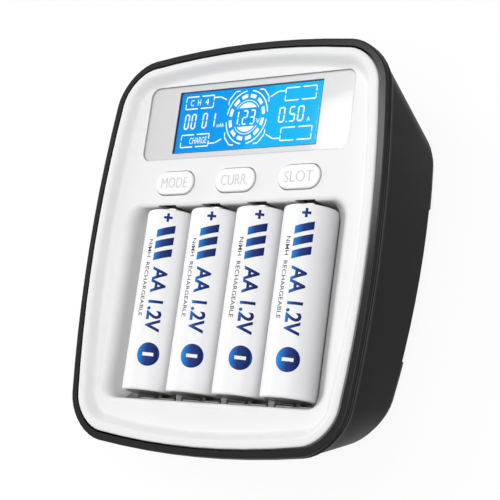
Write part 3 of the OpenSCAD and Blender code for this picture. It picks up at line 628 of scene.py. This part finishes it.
# The gauge round the voltage is a little higher than wide
bm = bmesh.new()
for k in range(12):
    ring_block(bm, 5.35, 6.35, 30 * k + 5, 20, 4)
for k in range(4):
    ring_block(bm, 7.1, 7.42, 90 * k + 8, 74, 14)
for k in (0, 1):
    cap_block(bm, 4.0, 180 * k + 40, 100)
    ring_block(bm, 4.5, 4.7, 180 * k + 32, 116, 16)
for sx in (-1, 1):
    for sy in (-1, 1):
        corner = ((7.2, 3.7), (7.1, 5.1), (5.1, 7.3), (3.5, 7.4))
        chain(bm, [(sx * x, sy * y) for x, y in corner])
place(bm, Matrix.Translation((-0.66, 0.55, 0)) @ Matrix.Diagonal((0.93, 1.025, 1, 1)))

# A box in each corner, with a lead from it towards the gauge
for side, x, w, bend, end, fall in ((-1, 17.5, 9.6, 2.3, 4.5, 1.0), (1, 16.2, 9.8, 2.35, 4.85, 1.35)):
    for way, y in ((1, 5.95), (-1, -5.0)):
        open_box(bm, side * x, y, w, 3.5)
        inner = x - w / 2
        lead = ((inner, 1.05), (inner - bend, 1.05), (inner - end, 1.05 - fall))
        chain(bm, [(side * u, y + way * v) for u, v in lead])

figures(bm, (("0", -21.9), ("0", -19.55), ("0", -15.65), ("1", -12.85)), -1.45, 1.3, 4.0)
figures(bm, (("1", -5.0), ("2", -1.95), ("3", 0.5)), -1.4, 1.4, 3.75)
figures(bm, (("0", 10.05), ("5", 13.4), ("0", 16.1)), -1.6, 1.6, 3.9)
for x, y in ((-2.72, -1.45), (12.65, -1.65)):
    bar(bm, (x - 0.22, y), (x + 0.22, y), POINT_LINE)
for text, x, y, w, h in (
        ("C", -20.2, 5.95, 1.2, 1.75), ("H", -17.75, 5.95, 1.05, 1.75), ("4", -15.0, 5.95, 1.2, 1.75),
        ("CHARGE", -16.35, -5.0, 5.9, 1.85), ("mAh", -9.35, -1.1, 2.4, 1.15),
        ("V", 3.25, -0.75, 1.25, 1.35), ("A", 19.6, -1.35, 1.0, 1.15)):
    small_words(bm, text, x, y, w, h)
bmesh.ops.recalc_face_normals(bm, faces=bm.faces)
for face in bm.faces:
    if face.normal.z < 0:
        face.normal_flip()
centre = middle("lcd_panel")
centre.z = face_box("lcd_panel")[1].z + SEGMENT_LIFT
place(bm, FACE @ Matrix.Translation(centre) @ Matrix.Scale(MM, 4))
add_piece("display_figures", bm, display_lit, "root")


# --------------------------------------------------------------------------- cell prints

STRIP_W = 0.45
ROUNDEL_Y = 9.4
DOWN_THE_CELL = Matrix.Rotation(-math.pi / 2, 4, "Z")


def wrap(bm, cell, roll):
    """Bends a flat print, with x across and y along in millimetres, round a cell; strips keep it round."""
    low, high = face_box(cell)
    radius = (high.x - low.x) / 2 + INK_LIFT
    left, right = min(v.co.x for v in bm.verts), max(v.co.x for v in bm.verts)
    strips = int((right - left) / STRIP_W)
    for k in range(1, strips):
        cut = (left + k * (right - left) / strips, 0, 0)
        bmesh.ops.bisect_plane(bm, geom=[*bm.verts, *bm.edges, *bm.faces], plane_co=cut, plane_no=(1, 0, 0))
    for v in bm.verts:
        turn = v.co.x * MM / radius + math.radians(roll)
        v.co = Vector((
            (low.x + high.x) / 2 + radius * math.sin(turn), low.y + v.co.y * MM,
            (low.z + high.z) / 2 + radius * math.cos(turn)))
    place(bm, FACE)
    for face in bm.faces:
        face.smooth = True


def print_marks():
    """Slanting bars, a plus sign, the cell's size and voltage, and a roundel with a minus sign."""
    bm = bmesh.new()
    for k in range(3):
        spots = ((-2.6, 0), (2.4, 1.5), (2.4, 3.6), (-2.6, 2.1))
        bm.faces.new([bm.verts.new((x, 34.6 + 3.2 * k + y, 0)) for x, y in spots])
    plus = ((0, 46.6, 2.4, 0.7), (0, 47.375, 0.7, 0.85), (0, 45.825, 0.7, 0.85))
    beside_minus = ((2.3, ROUNDEL_Y, 1.6, 0.9), (-2.3, ROUNDEL_Y, 1.6, 0.9))
    for x, y, w, h in plus + beside_minus:
        tab = bmesh.ops.create_grid(bm, x_segments=1, y_segments=1, size=0.5)["verts"]
        fitted = Matrix.Translation((x, y, 0)) @ Matrix.Diagonal((w, h, 1, 1))
        bmesh.ops.transform(bm, matrix=fitted, verts=tab)
    for side in (0, 180):
        cap_block(bm, 3.13, side + 8.3, 163.4, ROUNDEL_Y)
    line = lettering("AA 1.2V", 17.6, 4.2, weight=0.03)
    place(line, Matrix.Translation((0, 24.2, 0)) @ DOWN_THE_CELL)
    take(bm, line)
    return bm


def print_small():
    """The cell's chemistry in small letters beside the large ones."""
    line = lettering("NiMH  RECHARGEABLE", 21.0, 1.45, weight=0.01)
    place(line, Matrix.Translation((-4.3, 30.0, 0)) @ DOWN_THE_CELL)
    return line


for i, roll in zip(CELLS, (27.0, 25.0, 28.0, 24.0)):
    for kind, make, ink in (("marks", print_marks, sleeve_ink), ("lines", print_small, sleeve_small_ink)):
        bm = make()
        wrap(bm, f"cell_{i}", roll)
        add_piece(f"cell_{i}_{kind}", bm, ink, "root")


# --------------------------------------------------------------------------- stage, light and camera

# Share of the floor that shows plain white, and the sky's strength on the object and where it is seen
FLOOR_WHITE = 0.93
SKY_LIGHT, SKY_SEEN = 0.07, 1.0
FLOOR_DROP = 0.1 * MM


def floor_finish(name):
    """Floor that shows white to the camera and to mirrors, and still takes a soft shadow."""
    finish = Finish(name, base_color=(0.92, 0.92, 0.92, 1), roughness=0.7)
    camera_ray, glossy_ray, transmission_ray = [finish.add("ShaderNodeLightPath", out=k) for k in (0, 3, 6)]
    seen = camera_ray | glossy_ray | transmission_ray
    glow = finish.add("ShaderNodeEmission", None, {"Color": (1, 1, 1, 1), "Strength": 1.0})
    finish.show(FLOOR_WHITE * seen, finish.plain(), glow)
    return finish


# The floor lies a little below the feet, so that it does not lie in their faces.
bm = bmesh.new()
bmesh.ops.create_grid(bm, x_segments=8, y_segments=8, size=3.0)
place(bm, Matrix.Translation((0, 0, -FLOOR_DROP)))
floor = new_object("floor", bm, floor_finish("floor_white"))

world = bpy.data.worlds.new("studio")
bpy.context.scene.world = world
world.use_nodes = True
sky = world.node_tree
path = sky.nodes.new("ShaderNodeLightPath")
seen = path.outputs["Is Camera Ray"]
for ray in ("Is Glossy Ray", "Is Transmission Ray"):
    either = sky.nodes.new("ShaderNodeMath")
    either.operation = "MAXIMUM"
    sky.links.new(seen, either.inputs[0])
    sky.links.new(path.outputs[ray], either.inputs[1])
    seen = either.outputs[0]
level = sky.nodes.new("ShaderNodeMapRange")
level.inputs["To Min"].default_value = SKY_LIGHT
level.inputs["To Max"].default_value = SKY_SEEN
sky.links.new(seen, level.inputs["Value"])
sky.links.new(level.outputs[0], sky.nodes["Background"].inputs["Strength"])
sky.nodes["Background"].inputs["Color"].default_value = (1, 1, 1, 1)


def lamp(name, kind, spot, turn, energy, **settings):
    data = bpy.data.lights.new(name, kind)
    data.energy = energy
    for key, value in settings.items():
        setattr(data, key, value)
    obj = bpy.data.objects.new(name, data)
    obj.location = spot
    obj.rotation_euler = turn
    bpy.context.scene.collection.objects.link(obj)


def sunlight(name, spot, energy, spread):
    """A sun that shines from a spot to the origin, as wide as a spread in degrees."""
    spot = Vector(spot)
    lamp(name, "SUN", spot, (-spot).to_track_quat("-Z", "Y").to_euler(), energy, angle=math.radians(spread))


sunlight("key", (0.2, -0.1, 0.97), 2.34, 50)
sunlight("side", (-0.9, 0.3, 0.35), 1.1, 30)
# A small panel, mirrored in the right end of the lens
panel_turn = [math.radians(a) for a in (93.07, -34.2, -128.72)]
lamp("panel", "AREA", (-0.3799, 0.1741, 0.6851), panel_turn, 1.75, shape="RECTANGLE", size=0.14, size_y=0.12)

camera = bpy.data.objects.new("camera", bpy.data.cameras.new("camera"))
camera.data.sensor_width = 36.0
camera.data.lens = 104.31
spot = Vector((0.231313, -0.105407, 0.309054))
aim = Vector((0.004901, 0.000144, 0.026331))
ahead = (aim - spot).normalized()
level_right = ahead.cross(Vector((0, 0, 1))).normalized()
level_up = level_right.cross(ahead)
roll = math.radians(-59.05)
right = level_right * math.cos(roll) + level_up * math.sin(roll)
up = right.cross(ahead)
turned = Matrix((right, up, -ahead)).transposed().to_4x4()
camera.matrix_world = Matrix.Translation(spot) @ turned
bpy.context.scene.collection.objects.link(camera)
bpy.context.scene.camera = camera
bpy.context.scene.view_settings.view_transform = "Standard"
